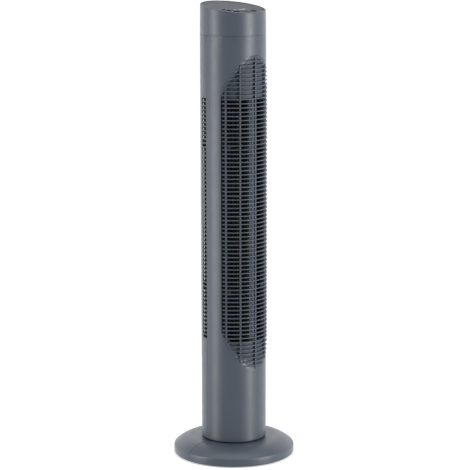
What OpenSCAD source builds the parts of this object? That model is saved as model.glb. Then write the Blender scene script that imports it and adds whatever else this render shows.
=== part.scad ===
// Tower fan: a round oscillating column on a split disc base, with a cross-flow blower inside.
// Millimetres. The origin is at the bottom centre, +Z is up and the air outlet faces -Y.
// Angles round the column are counted from the front, positive toward +X.

/* [Column] */
// Outer radius of the column
tower_r = 58.8; // [58.4:0.1:59.4]
// Wall of the column's shells
tower_wall = 2.4; // [2:0.1:2.6]
// Height of the gap seam between column and head
head_seam_z = 766; // [763:1:768]
// Angle from the front at which the two column shells meet
seam_angle = 96; // [95:0.5:97]

/* [Head] */
// Height of the slanted top at the column's axis
top_z = 814.5; // [812:0.5:818]
// Slant of the top, low at the front
top_tilt = 8.26; // [7:0.01:9]
// Outer radius at the top of the head
head_top_r = 58.2; // [57.8:0.1:58.6]
// Travel of the control keys
key_travel = 0.8; // [0.5:0.1:0.8]

/* [Grilles] */
// Height of the first open slot
vent_z = 219; // [218:0.5:220]
// Spacing of the slots and fins
vent_pitch = 7.42; // [7.3:0.01:7.45]
// Number of open slot rows
vent_rows = 59; // [55:1:59]
// Thickness of one fin
fin_t = 2; // [1.8:0.05:2.6]
// Outer radius of the front fins
fin_r = 60.8; // [60.4:0.1:61.4]
// Slot columns in the middle of the rear shell
rear_columns = 4; // [2:1:4]

/* [Base] */
// Radius of the base
base_r = 110; // [105:1:115]
// Height of the base's flat top
base_top_z = 30; // [30:0.5:30.5]

/* [Blower] */
// Radius of the impeller
impeller_r = 33; // [31:0.5:33.5]
// Number of impeller blades
blade_count = 28; // [16:1:32]

/* [Oscillation] */
// Distance from the column's axis to the crank shaft
crank_offset = 29; // [28:0.5:29]
// Length of the crank
crank_throw = 16.3; // [15:0.1:16.3]

/* [Hidden] */
$fn = 96;

slate = [0.33, 0.36, 0.41];
dark = [0.07, 0.07, 0.08];
steel = [0.70, 0.71, 0.73];
bronze = [0.62, 0.45, 0.25];
copper = [0.72, 0.38, 0.18];
zinc = [0.62, 0.64, 0.66];
nylon = [0.86, 0.85, 0.80];
board_green = [0.08, 0.28, 0.16];

eps = 0.01;
seam_gap = 0.15;       // half of the visible line between two mouldings
fit = 0.05;            // radial clearance of a running fit
loose = 0.3;           // clearance of mouldings that only sit beside each other

// Column
tower_z = 32;
tower_h = head_seam_z - tower_z;
inner_r = tower_r - tower_wall;

// Front opening: two slanted planes and two upright sides
opening_z0 = 165;
opening_z1 = 731.5;
opening_slope = 2.04;
opening_ref_r = 60;
opening_half_w = 52.3;

// Fasteners of the column
post_x = 39.3;
post_r = 4.5;
post_back_y = 33;
shell_post_levels = [52, 123, 750];
blower_post_levels = [vent_z + 92, vent_z + 352];
function row_z(k) = vent_z + k * vent_pitch;
screw_head_y = 37.5;

// Blower
plate_t = 3;
plate_r = 53.2;
plate_low_z = vent_z - 7;
plate_high_z = vent_z + 441;
impeller_z0 = plate_low_z + 8;
impeller_z1 = plate_high_z - 8;
duct_z0 = plate_low_z + plate_t;
duct_h = plate_high_z - duct_z0;
shaft_r = 3;
pin_r = 2.5;

// Motor
motor_r = 32.5;
motor_z = [for (drop = [66, 51, 29, 14]) plate_low_z - drop];
ear_pcr = 38;
rotor_r = 12.3;

// Swivel
seat_z = 19;
seat_t = 3;
seat_r = 54;
hub_r = 8.2;
hub_top_z = 54;
rim_top_z = 33;
ring_t = 1;
floor_z = rim_top_z + ring_t + 0.2;
floor_t = 3;
boss_top_z = 46;
crank_z = 27;
crank_t = 3;
roller_r = 2.5;
slot_half_w = 3.5;
swing_motor_z = 57;
swing_motor_y = 19;
swing_motor_r = 25;
standoff_x = 28.5;

// Head, in the slanted frame: z is 0 at the rim
panel_drop = 0.8;
panel_t = 2.2;
spigot_h = 12;
board_drop = 12;
board_t = 1.6;
key_r0 = 36.5;
key_r1 = 45;
key_proud = 1;
display_angles = [-20, 12.5];
display_r = [29, 43];
//            name        first angle   last angle
KEYS = [["key_power", -67, -60.5], ["key_speed", -55.5, -46.5], ["key_timer", -41, -26.5],
        ["key_swing", 15.5, 27]];
board_post_xy = [[-22, -16], [22, -16], [-44, -13], [44, -13]];

// ---------- helpers ----------

// A ring sector from angle a0 to a1, standing on z = 0
module sector(a0, a1, r0, r1, h)
    rotate([0, 0, a0 - 90])
        rotate_extrude(angle = a1 - a0)
            translate([r0, 0])
                square([r1 - r0, h]);

// A tube standing on z = 0
module tube(r0, r1, h)
    difference() {
        cylinder(r = r1, h = h);
        translate([0, 0, -1]) cylinder(r = r0, h = h + 2);
    }

// Puts children at an angle and a radius, with their -Y pointing outward
module at(a, r) rotate([0, 0, a]) translate([0, -r, 0]) children();

// A cylinder along Y from y0 to y1
module rod_y(x, y0, y1, z, r)
    translate([x, y0, z]) rotate([-90, 0, 0]) cylinder(r = r, h = y1 - y0);

// The slanted frame of the head's top
module on_top() translate([0, 0, top_z]) rotate([top_tilt, 0, 0]) children();

// A pan-head screw: the head's underside is at z = 0 and the shank points down
module screw(head_r, head_h, shank_r, length) {
    difference() {
        cylinder(r = head_r, h = head_h);
        for (a = [0, 90])
            rotate([0, 0, a])
                translate([-head_r * 0.55, -0.4, head_h * 0.5])
                    cube([head_r * 1.1, 0.8, head_h]);
    }
    translate([0, 0, -length]) cylinder(r = shank_r, h = length + eps);
}

// The space that the front opening cuts, grown by dz at both ends and dx at both sides
module opening_prism(dz, dx) {
    z0 = opening_z0 - dz;
    z1 = opening_z1 + dz;
    front = -opening_ref_r - 10;
    back = -19;
    rise_front = opening_slope * (front + opening_ref_r);
    rise_back = opening_slope * (back + opening_ref_r);
    rotate([90, 0, 90])
        translate([0, 0, -opening_half_w - dx])
            linear_extrude(2 * (opening_half_w + dx))
                polygon([[front, z0 + rise_front], [back, z0 + rise_back],
                         [back, z1 - rise_back], [front, z1 - rise_front]]);
}

// ---------- base ----------

base_wall = 2.6;
dome_r0 = 74;                       // the flat top ends here
rim_z = 13.5;                       // the rim is upright up to here
dome_edge = [base_r - 3, rim_z + 4];
dome_run = dome_edge[0] - dome_r0;
dome_fall = base_top_z - dome_edge[1];
dome_radius = (dome_run * dome_run + dome_fall * dome_fall) / (2 * dome_fall);
dome_sweep = asin(dome_run / dome_radius);
well_r = seat_r + 0.4;
shelf_r = 42;
seat_screw_xy = 33;
skirt_z = 2;
foot_r = 7;
foot_h = 3.2;
foot_pcr = 97;

function dome_points(inset, steps) =
    [for (i = [0:steps])
        let (a = dome_sweep * i / steps)
        [dome_r0 + (dome_radius - inset) * sin(a),
         base_top_z - dome_radius + (dome_radius - inset) * cos(a)]];

module base_section() {
    steps = 10;
    outer = concat([[well_r + base_wall, base_top_z]], dome_points(0, steps),
                   [[base_r - 0.9, rim_z + 2.4], [base_r, rim_z], [base_r, skirt_z]]);
    inner = concat([[base_r - base_wall, skirt_z], [base_r - base_wall, rim_z]],
                   [for (i = [steps:-1:0]) dome_points(base_wall, steps)[i]],
                   [[well_r + base_wall, base_top_z - base_wall]]);
    polygon(concat(outer, inner));
    translate([well_r, skirt_z + 2]) square([base_wall + 0.1, base_top_z - skirt_z - 2]);
    translate([shelf_r, seat_z - base_wall]) square([well_r - shelf_r + 1, base_wall]);
}

module base_rib(a)
    rotate([90, 0, a])
        translate([0, 0, -1])
            linear_extrude(2)
                polygon(concat([[well_r + 1, 8]],
                               [[well_r + 1, base_top_z - 1]],
                               dome_points(1, 6),
                               [[base_r - 2, rim_z], [base_r - 2, 8]]));

module base_half(front) {
    side = front ? -1 : 1;
    difference() {
        intersection() {
            union() {
                rotate_extrude() base_section();
                for (a = [15:30:165]) base_rib(side * a);
                for (a = [30:60:150])
                    rotate([0, 0, side * a])
                        translate([foot_pcr, 0, foot_h])
                            cylinder(r = foot_r - 1, h = 16);
            }
            translate([-base_r - 1, front ? -base_r - 1 : seam_gap, 0])
                cube([2 * base_r + 2, base_r + 1 - seam_gap, base_top_z + 1]);
        }
        for (x = [-1, 1])
            translate([x * seat_screw_xy, side * seat_screw_xy, seat_z - base_wall - 1])
                cylinder(r = 1.6, h = base_wall + 2);
    }
}

module base_front_half() color(slate) base_half(true);
module base_rear_half() color(slate) base_half(false);

module base_feet()
    color(dark)
        for (a = [30:60:330])
            rotate([0, 0, a]) translate([foot_pcr, 0, 0]) cylinder(r = foot_r, h = foot_h);

// ---------- swivel ----------

// The fixed seat: a disc with a hub to turn about, a rim to ride on and a slot for the crank
module swivel_seat()
    color(dark)
        difference() {
            union() {
                translate([0, 0, seat_z]) cylinder(r = seat_r, h = seat_t);
                translate([0, 0, seat_z]) cylinder(r = hub_r, h = hub_top_z - seat_z);
                translate([0, 0, seat_z + 1]) tube(seat_r - 3.8, seat_r, rim_top_z - seat_z - 1);
                for (x = [-1, 1])
                    translate([x > 0 ? slot_half_w : -slot_half_w - 2.5, hub_r + 1.5, seat_z + 1])
                        cube([2.5, seat_r - hub_r - 4, crank_z - 1 - seat_z - 1]);
            }
            translate([0, 0, seat_z - 1]) cylinder(r = 5, h = hub_top_z);
            for (x = [-1, 1], y = [-1, 1])
                translate([x * seat_screw_xy, y * seat_screw_xy, seat_z - 1])
                    cylinder(r = 2, h = seat_t + 2);
        }

module slide_ring()
    color(nylon) translate([0, 0, rim_top_z]) tube(seat_r - 3.4, seat_r - 0.3, ring_t);

module seat_screws()
    color(steel)
        for (x = [-1, 1], y = [-1, 1])
            translate([x * seat_screw_xy, y * seat_screw_xy, seat_z + seat_t]) screw(3.4, 2.2, 1.5, 12);

module hub_washer()
    color(steel) translate([0, 0, boss_top_z + loose]) tube(hub_r + fit, 14, 1.2);

module hub_nut()
    color(nylon)
        translate([0, 0, boss_top_z + loose + 1.2])
            difference() {
                cylinder(r = 11, h = 5.5, $fn = 6);
                translate([0, 0, -1]) cylinder(r = hub_r + fit, h = 8);
            }

// ---------- column ----------

module column_floor()
    color(dark)
        difference() {
            union() {
                translate([0, 0, floor_z]) cylinder(r = inner_r - 0.2, h = floor_t);
                translate([0, 0, floor_z]) cylinder(r = 13, h = boss_top_z - floor_z);
                for (x = [-1, 1])
                    translate([x * standoff_x, swing_motor_y, floor_z])
                        cylinder(r = 4, h = swing_motor_z - floor_z);
            }
            translate([0, 0, floor_z - 1]) cylinder(r = hub_r + fit, h = boss_top_z);
            translate([0, crank_offset, floor_z - 1]) cylinder(r = 4, h = floor_t + 2);
            for (x = [-1, 1])
                translate([x * standoff_x, swing_motor_y, swing_motor_z - 10])
                    cylinder(r = 1.35, h = 11);
        }

// Posts that take the housing screws, at both sides
module posts(levels, front_y, sides)
    for (x = sides, z = levels)
        difference() {
            rod_y(x * post_x, front_y, post_back_y, z, post_r);
            rod_y(x * post_x, post_back_y - 16, post_back_y + 1, z, 1.55);
        }

module front_shell()
    color(slate) {
        difference() {
            translate([0, 0, tower_z])
                sector(-seam_angle + seam_gap, seam_angle - seam_gap, inner_r, tower_r, tower_h);
            opening_prism(0, 0);
        }
        intersection() {
            cylinder(r = tower_r - 1, h = head_seam_z);
            posts(shell_post_levels, -tower_r, [-1, 1]);
        }
    }

// Rear slots: one column beside each seam and a group in the middle, with plain bands between
slot_w = 14.3;
slot_gap = 3.5;
slot_lift = 1.2;       // the rear rows sit this much above the front ones
middle_first = 180 - (rear_columns * (slot_w + slot_gap) - slot_gap) / 2;
slot_starts = concat([seam_angle + 1.5, 360 - seam_angle - 1.5 - slot_w],
                     [for (i = [0:rear_columns - 1]) middle_first + i * (slot_w + slot_gap)]);

// One row of them, as flat wedges that pass through the wall
module slot_row()
    for (a = slot_starts)
        polygon([for (p = [[50, a], [66, a], [66, a + slot_w], [50, a + slot_w]])
                    [p[0] * sin(p[1]), -p[0] * cos(p[1])]]);

module rear_shell()
    color(slate)
        difference() {
            union() {
                translate([0, 0, tower_z])
                    sector(seam_angle + seam_gap, 360 - seam_angle - seam_gap,
                           inner_r, tower_r, tower_h);
                intersection() {
                    translate([0, 0, tower_z]) cylinder(r = tower_r, h = tower_h);
                    for (x = [-1, 1], z = concat(shell_post_levels, blower_post_levels))
                        rod_y(x * post_x, post_back_y + loose, tower_r, z, post_r + 1.3);
                }
            }
            for (k = [0:vent_rows - 1])
                translate([0, 0, row_z(k) + slot_lift])
                    linear_extrude(vent_pitch - fin_t)
                        slot_row();
            for (x = [-1, 1], z = concat(shell_post_levels, blower_post_levels)) {
                rod_y(x * post_x, screw_head_y, tower_r, z, 4.2);
                rod_y(x * post_x, post_back_y, screw_head_y + 1, z, 1.8);
            }
            rod_y(0, inner_r - 5, tower_r + 5, gland_z, gland_neck_r + 0.1);
        }

module housing_screws()
    color(steel)
        for (x = [-1, 1], z = concat(shell_post_levels, blower_post_levels))
            translate([x * post_x, screw_head_y, z])
                rotate([-90, 0, 0])
                    screw(3.4, 2.2, 1.5, 16);

gland_z = 50;
gland_neck_r = 5.9;
gland_bore_r = 3.3;
module cord_gland()
    color(dark)
        difference() {
            union() {
                rod_y(0, inner_r - 3.2, inner_r - 0.7, gland_z, 7.5);
                rod_y(0, inner_r - 1, tower_r + 1, gland_z, gland_neck_r);
                rod_y(0, tower_r + 0.1, tower_r + 2.6, gland_z, 7.5);
            }
            rod_y(0, inner_r - 5, tower_r + 5, gland_z, gland_bore_r);
        }

// ---------- air outlet ----------

fin_in_r = 57.2;
rib_in_r = 55.5;
baffle_r = 55.2;
rib_angles = [-55, -30, 0, 30, 55];
rib_w = 2.7;
first_fin = -6;
last_fin = 69;
end_rows = 10;

module fins(k0, k1, half_angle)
    for (k = [k0:k1])
        translate([0, 0, row_z(k) - fin_t])
            sector(-half_angle, half_angle, fin_in_r, fin_r, fin_t);

module front_grille()
    color(slate) {
        intersection() {
            fins(first_fin + end_rows, last_fin - end_rows, 62);
            translate([loose - opening_half_w, -fin_r - 1, opening_z0])
                cube([2 * (opening_half_w - loose), fin_r, opening_z1 - opening_z0]);
        }
        intersection() {
            union() {
                fins(first_fin, first_fin + end_rows - 1, 62);
                fins(last_fin - end_rows + 1, last_fin, 62);
            }
            opening_prism(-loose, -loose);
        }
        intersection() {
            translate([0, 0, opening_z0 - 5])
                for (a = rib_angles)
                    at(a, 0)
                        translate([-rib_w / 2, -fin_r + 1, 0])
                            cube([rib_w, fin_r - 1 - rib_in_r, opening_z1 - opening_z0 + 10]);
            opening_prism(-loose, -loose);
        }
        intersection() {
            translate([0, 0, opening_z0 - 6])
                sector(-80, 80, inner_r - 2.5, inner_r - loose, opening_z1 - opening_z0 + 12);
            difference() {
                opening_prism(4, 2);
                opening_prism(-4, -1.5);
            }
        }
    }

// Solid sheets behind the fins, above and below the open slots, with a gap behind each rib
module baffle(z0, z1)
    color(slate)
        intersection() {
            difference() {
                translate([0, 0, z0]) sector(-60, 60, baffle_r - 1.6, baffle_r, z1 - z0);
                for (a = rib_angles)
                    at(a, 0)
                        translate([-1.6, -fin_r, z0 + (z0 < vent_z ? -1 : 2.5)])
                            cube([3.2, 12, z1 - z0 - 1.5]);
            }
            opening_prism(-4.5, -2);
        }

module upper_baffle() baffle(row_z(vent_rows) - fin_t, opening_z1);
module lower_baffle() baffle(opening_z0, vent_z - 0.5);

module centre_stay()
    color(slate) translate([-6.5, -50, duct_z0]) cube([13, 2, duct_h]);

// ---------- blower ----------

duct_in_r = 49.4;
duct_t = 1.6;

// One side wall of the air duct, with its two screw posts; side is -1 or 1
module duct_side(side) {
    translate([0, 0, duct_z0])
        mirror([side > 0 ? 0 : 1, 0, 0]) {
            sector(55.5, 112, duct_in_r, duct_in_r + duct_t, duct_h);
            at(109.5, duct_in_r + 1)
                translate([-1.2, -inner_r + duct_in_r + 1.3, 0])
                    cube([2.4, inner_r - duct_in_r - 1.3, duct_h]);
        }
    posts(blower_post_levels, -34, [side]);
}

module scroll_wall() color(dark) duct_side(-1);

module vortex_tongue()
    color(dark) {
        duct_side(1);
        translate([0, 0, duct_z0]) sector(84, 86.5, impeller_r + 2.8, duct_in_r + 0.7, duct_h);
    }

module blower_plate(z)
    translate([0, 0, z])
        difference() {
            union() {
                cylinder(r = plate_r, h = plate_t);
                for (a = [[-94, -87], [80, 92], [130, 150], [210, 230]])
                    sector(a[0], a[1], plate_r - 1, inner_r - 0.2, plate_t);
            }
            at(harness_angle, harness_pcr)
                translate([0, 0, -1]) cylinder(r = harness_r + 0.6, h = plate_t + 2);
        }

module blower_bottom_plate()
    color(dark)
        difference() {
            blower_plate(plate_low_z);
            translate([0, 0, plate_low_z - 1]) cylinder(r = 9, h = plate_t + 2);
            for (a = [45:90:315])
                at(a, ear_pcr) translate([0, 0, plate_low_z - 1]) cylinder(r = 1.95, h = plate_t + 2);
        }

module blower_top_plate()
    color(dark)
        difference() {
            union() {
                blower_plate(plate_high_z);
                translate([0, 0, plate_high_z]) cylinder(r = 12, h = plate_t + 9);
            }
            translate([0, 0, plate_high_z - 1]) cylinder(r = 5.5, h = plate_t + 2);
            translate([0, 0, plate_high_z + plate_t]) cylinder(r = 9.2, h = 10);
        }

module upper_bush_holder()
    color([0.12, 0.12, 0.12])
        translate([0, 0, plate_high_z + plate_t]) tube(5.35, 9.15, 8.5);

module upper_bush()
    color(bronze) translate([0, 0, plate_high_z + plate_t + 0.5]) tube(pin_r + 0.03, 5.3, 7.5);

module motor_cap(z0, z1, closed_low) {
    wall = 1.6;
    end_z = closed_low ? z0 : z1 - wall;
    translate([0, 0, z0]) tube(motor_r - wall, motor_r, z1 - z0);
    translate([0, 0, end_z]) tube(6.05, motor_r - 1, wall);
    translate([0, 0, closed_low ? z0 : z1 - 7]) tube(6.05, 8, 7);
}

module motor_lower_cap() color(zinc) motor_cap(motor_z[0], motor_z[1], true);

module motor_upper_cap()
    color(zinc) {
        motor_cap(motor_z[2], motor_z[3], false);
        for (a = [45:90:315])
            difference() {
                union() {
                    at(a, ear_pcr) translate([0, 0, motor_z[3] - 2.5]) cylinder(r = 5.5, h = 2.5);
                    at(a, 31.5)
                        translate([-5.5, -6.5, motor_z[3] - 2.5]) cube([11, 6.5, 2.5]);
                }
                at(a, ear_pcr) translate([0, 0, motor_z[3] - 4]) cylinder(r = 1.95, h = 6);
            }
    }

module motor_stator()
    color(steel)
        difference() {
            translate([0, 0, motor_z[1]]) cylinder(r = motor_r, h = motor_z[2] - motor_z[1]);
            translate([0, 0, motor_z[1] - 1]) cylinder(r = rotor_r + 0.4, h = 30);
            for (a = [0:45:315])
                rotate([0, 0, a])
                    translate([15, -3, motor_z[1] - 1]) cube([12, 6, 30]);
        }

module motor_windings()
    color(copper)
        for (z = [motor_z[1] - 9, motor_z[2] + 0.2])
            translate([0, 0, z])
                rotate_extrude()
                    translate([16, 0])
                        polygon([[2, 0], [9, 0], [11, 2], [11, 6.8], [9, 8.8],
                                 [2, 8.8], [0, 6.8], [0, 2]]);

module motor_bushes()
    color(bronze)
        for (z = [motor_z[0], motor_z[3] - 7])
            translate([0, 0, z]) tube(shaft_r + 0.03, 6, 7);

module motor_grommets()
    color([0.12, 0.12, 0.12])
        for (a = [45:90:315])
            at(a, ear_pcr) translate([0, 0, motor_z[3]]) tube(1.95, 5.5, plate_low_z - motor_z[3]);

module motor_screws()
    color(steel)
        for (a = [45:90:315])
            at(a, ear_pcr)
                translate([0, 0, motor_z[3] - 2.5])
                    rotate([180, 0, 0])
                        screw(3.8, 2.4, 1.9, 18);

// One curved blade, drawn as a thin crescent between the inner and the outer radius
module blade_section() {
    steps = 5;
    inner = impeller_r - 7;
    lean = 9;
    bow = 3;
    function blade_point(t, side) =
        let (r = inner + (impeller_r - 0.4 - inner) * t,
             a = lean * t + bow * sin(180 * t) + side * 0.55 / r * 180 / PI)
        [r * cos(a), r * sin(a)];
    polygon(concat([for (i = [0:steps]) blade_point(i / steps, -1)],
                   [for (i = [steps:-1:0]) blade_point(i / steps, 1)]));
}

module impeller()
    color(dark)
        difference() {
            union() {
                for (i = [0:blade_count - 1])
                    translate([0, 0, impeller_z0 + 1])
                        rotate([0, 0, i * 360 / blade_count])
                            linear_extrude(impeller_z1 - impeller_z0 - 2)
                                blade_section();
                for (i = [0:5])
                    translate([0, 0, impeller_z0 + i * (impeller_z1 - impeller_z0 - 2.5) / 5])
                        if (i == 0 || i == 5)
                            cylinder(r = impeller_r, h = 2.5);
                        else
                            tube(impeller_r - 9, impeller_r, 2.5);
                translate([0, 0, impeller_z0]) cylinder(r = 8, h = 13);
                translate([0, 0, impeller_z1 - 12]) cylinder(r = 6, h = 12);
            }
            translate([0, 0, impeller_z0 - 1]) cylinder(r = shaft_r + 0.02, h = 15);
            translate([0, 0, impeller_z1 - 12 - 1]) cylinder(r = pin_r + 0.02, h = 15);
            translate([0, 0, impeller_z0 + 7])
                rotate([90, 0, 0])
                    translate([0, 0, shaft_r]) cylinder(r = 1.55, h = 8);
        }

module motor_rotor()
    color(steel)
        translate([0, 0, motor_z[1] - 2])
            tube(shaft_r + 0.02, rotor_r, motor_z[2] - motor_z[1] + 4);

module motor_shaft()
    color(steel)
        translate([0, 0, motor_z[0] - 4])
            cylinder(r = shaft_r, h = impeller_z0 + 12 - motor_z[0] + 4);

module impeller_screw()
    color(steel)
        translate([0, -shaft_r - 0.02, impeller_z0 + 7])
            rotate([90, 0, 0])
                cylinder(r = 1.5, h = 5.4);

module top_pin()
    color(steel) translate([0, 0, impeller_z1 - 12]) cylinder(r = pin_r, h = 32);

// ---------- oscillation drive and wiring ----------

module swing_motor()
    color(steel)
        difference() {
            union() {
                translate([0, swing_motor_y, swing_motor_z + 1.2]) cylinder(r = swing_motor_r, h = 17);
                translate([-standoff_x - 5, swing_motor_y - 6, swing_motor_z])
                    cube([2 * standoff_x + 10, 12, 1.3]);
            }
            translate([0, crank_offset, swing_motor_z - 1]) cylinder(r = 3.5, h = 5);
            for (x = [-1, 1])
                translate([x * standoff_x, swing_motor_y, swing_motor_z - 1])
                    cylinder(r = 1.7, h = 4);
        }

module swing_motor_screws()
    color(steel)
        for (x = [-1, 1])
            translate([x * standoff_x, swing_motor_y, swing_motor_z + 1.3])
                screw(3.2, 2, 1.3, 10);

module crank_arm()
    color(nylon) {
        translate([0, crank_offset, crank_z]) cylinder(r = 5.5, h = crank_t);
        translate([0, crank_offset + crank_throw, crank_z]) cylinder(r = 4, h = crank_t);
        translate([-3.6, crank_offset, crank_z]) cube([7.2, crank_throw, crank_t]);
        translate([0, crank_offset, crank_z + 1]) cylinder(r = 2.5, h = swing_motor_z - crank_z);
        translate([0, crank_offset + crank_throw, seat_z + seat_t + 0.8])
            cylinder(r = 1.4, h = crank_z - seat_z - seat_t);
    }

module crank_roller()
    color(steel)
        translate([0, crank_offset + crank_throw, seat_z + seat_t + 0.8])
            tube(1.45, roller_r, crank_z - seat_z - seat_t - 1);

module run_capacitor()
    color([0.16, 0.16, 0.17])
        translate([-18, -46, floor_z + floor_t]) cube([36, 17, 28]);

module terminal_block()
    color(nylon)
        difference() {
            translate([-34, -22, floor_z + floor_t]) cube([18, 12, 12]);
            for (x = [-31, -25, -19])
                translate([x, -16, floor_z + floor_t + 5]) cylinder(r = 1.8, h = 10);
        }

harness_r = 2.2;
bend_r = 2.4;
harness_angle = -80;
harness_pcr = 53.3;
harness_z = [44.6, 788];

module wire_harness()
    color([0.1, 0.1, 0.11])
        at(harness_angle, harness_pcr) {
            translate([0, 0, harness_z[0]])
                cylinder(r = harness_r, h = harness_z[1] - harness_z[0]);
            for (z = harness_z) translate([0, 0, z]) sphere(r = bend_r);
            translate([0, 0, harness_z[0]]) rotate([-90, 0, 0]) cylinder(r = harness_r, h = 18.5);
            translate([0, 0, harness_z[1]]) rotate([-90, 0, 0]) cylinder(r = harness_r, h = 12);
            translate([0, 12, harness_z[1]]) sphere(r = bend_r);
            translate([0, 12, harness_z[1]]) cylinder(r = harness_r, h = 8);
        }

// ---------- head ----------

module below_top(drop, height)
    on_top() translate([-80, -80, -drop - height]) cube([160, 160, height]);

module head_shell()
    color(slate)
        difference() {
            union() {
                difference() {
                    translate([0, 0, head_seam_z + 2 * seam_gap])
                        cylinder(r1 = tower_r, r2 = head_top_r, h = 60);
                    translate([0, 0, head_seam_z - 1])
                        cylinder(r = head_top_r - tower_wall, h = 70);
                }
                intersection() {
                    translate([0, 0, head_seam_z]) tube(52, head_top_r - tower_wall + 0.2, 70);
                    below_top(panel_drop + panel_t, 2);
                }
                translate([0, 0, head_seam_z - spigot_h / 2 - 0.5])
                    tube(inner_r - 3, inner_r - loose, spigot_h);
            }
            on_top() translate([-80, -80, 0]) cube([160, 160, 60]);
            at(harness_angle, inner_r - loose)
                translate([-harness_r - 0.6, -0.1, head_seam_z - spigot_h])
                    cube([2 * harness_r + 1.2, 4, 2 * spigot_h]);
        }

module key_solid(a0, a1, grow) {
    grow_angle = grow / key_r0 * 180 / PI;
    sector(a0 - grow_angle, a1 + grow_angle, key_r0 - grow, key_r1 + grow, 20);
}

module top_cover()
    color(slate)
        difference() {
            union() {
                intersection() {
                    translate([0, 0, head_seam_z]) cylinder(r = head_top_r - tower_wall - 0.3, h = 70);
                    below_top(panel_drop, panel_t);
                }
                on_top()
                    for (p = board_post_xy)
                        translate([p[0], p[1], -board_drop])
                            cylinder(r = 2.8, h = board_drop - panel_drop - 1);
            }
            on_top() {
                for (k = KEYS) translate([0, 0, -10]) key_solid(k[1], k[2], 0.35);
                translate([0, 0, -10])
                    sector(display_angles[0] - 0.3, display_angles[1] + 0.3,
                           display_r[0] - 0.2, display_r[1] + 0.2, 20);
                for (p = board_post_xy)
                    translate([p[0], p[1], -board_drop - 1]) cylinder(r = 1.25, h = 8);
            }
        }

module display_window()
    color([0.02, 0.02, 0.025])
        on_top()
            translate([0, 0, -panel_drop - panel_t])
                sector(display_angles[0], display_angles[1],
                       display_r[0], display_r[1], panel_t + 0.3);

module display_module()
    color([0.1, 0.1, 0.1])
        on_top() translate([-13, -41, -board_drop + 0.1]) cube([20, 11, board_drop - 3.4]);

module control_board()
    color(board_green)
        on_top()
            difference() {
                translate([0, 0, -board_drop - board_t])
                    intersection() {
                        cylinder(r = 50.5, h = board_t);
                        translate([-60, -60, -1]) cube([120, 53, board_t + 2]);
                    }
                for (p = board_post_xy)
                    translate([p[0], p[1], -board_drop - board_t - 1]) cylinder(r = 1.6, h = 5);
            }

module board_screws()
    color(steel)
        on_top()
            for (p = board_post_xy)
                translate([p[0], p[1], -board_drop - board_t])
                    rotate([180, 0, 0])
                        screw(2.8, 1.8, 1.2, 6);

key_mid_r = (key_r0 + key_r1) / 2;
stem_end = -8;

module key_switches()
    color([0.15, 0.15, 0.16])
        on_top()
            for (k = KEYS)
                at((k[1] + k[2]) / 2, key_mid_r) {
                    translate([-3, -3, -board_drop]) cube([6, 6, 2.7]);
                    translate([0, 0, -board_drop + 2])
                        cylinder(r = 1.6, h = board_drop - 2 + stem_end - key_travel - fit);
                }

module key(i)
    color([0.05, 0.05, 0.055])
        on_top() {
            a0 = KEYS[i][1];
            a1 = KEYS[i][2];
            translate([0, 0, -6])
                sector(a0, a1, key_r0, key_r1, 6 - panel_drop + key_proud);
            translate([0, 0, -6])
                sector(a0 - 0.9, a1 + 0.9, key_r0 - 1.2, key_r1 + 1.2, 1.2);
            at((a0 + a1) / 2, key_mid_r) translate([0, 0, stem_end]) cylinder(r = 1.5, h = 3);
        }

module key_power() key(0);
module key_speed() key(1);
module key_timer() key(2);
module key_swing() key(3);

base_front_half();
base_rear_half();
base_feet();
swivel_seat();
slide_ring();
seat_screws();
hub_washer();
hub_nut();
column_floor();
front_shell();
rear_shell();
housing_screws();
cord_gland();
front_grille();
upper_baffle();
lower_baffle();
centre_stay();
scroll_wall();
vortex_tongue();
blower_bottom_plate();
blower_top_plate();
upper_bush_holder();
upper_bush();
motor_lower_cap();
motor_upper_cap();
motor_stator();
motor_windings();
motor_bushes();
motor_grommets();
motor_screws();
impeller();
motor_rotor();
motor_shaft();
impeller_screw();
top_pin();
swing_motor();
swing_motor_screws();
crank_arm();
crank_roller();
run_capacitor();
terminal_block();
wire_harness();
head_shell();
top_cover();
display_window();
display_module();
control_board();
board_screws();
key_switches();
key_power();
key_speed();
key_timer();
key_swing();
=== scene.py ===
import math

import bmesh
import bpy
from mathutils import Matrix, Vector


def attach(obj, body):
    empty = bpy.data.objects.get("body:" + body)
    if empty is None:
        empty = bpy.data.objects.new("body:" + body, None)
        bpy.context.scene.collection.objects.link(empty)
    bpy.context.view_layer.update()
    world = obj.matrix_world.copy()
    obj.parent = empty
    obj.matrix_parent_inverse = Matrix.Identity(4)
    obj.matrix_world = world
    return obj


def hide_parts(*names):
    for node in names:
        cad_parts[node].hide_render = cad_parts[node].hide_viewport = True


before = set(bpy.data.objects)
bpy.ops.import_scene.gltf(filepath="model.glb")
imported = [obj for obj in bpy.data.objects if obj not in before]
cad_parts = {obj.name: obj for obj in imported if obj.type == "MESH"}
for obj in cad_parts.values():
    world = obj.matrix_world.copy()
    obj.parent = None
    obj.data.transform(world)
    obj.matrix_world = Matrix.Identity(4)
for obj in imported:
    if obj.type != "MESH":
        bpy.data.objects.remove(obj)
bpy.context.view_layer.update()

MM = 0.001
SMOOTH_BELOW = 34  # an edge sharper than this many degrees stays crisp


def sin(a):
    return math.sin(math.radians(a))


def cos(a):
    return math.cos(math.radians(a))


def asin(x):
    return math.degrees(math.asin(max(-1.0, min(1.0, x))))


def acos(x):
    return math.degrees(math.acos(max(-1.0, min(1.0, x))))


def clamp(x, low=0.0, high=1.0):
    return max(low, min(high, x))


def smooth(x):
    x = clamp(x)
    return x * x * (3 - 2 * x)


def steps(a, b, n):
    """n + 1 evenly spaced values from a to b."""
    return [a + (b - a) * i / n for i in range(n + 1)]


def polar(a, r, z):
    return (r * sin(a), -r * cos(a), z)


# ---------- materials ----------


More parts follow.
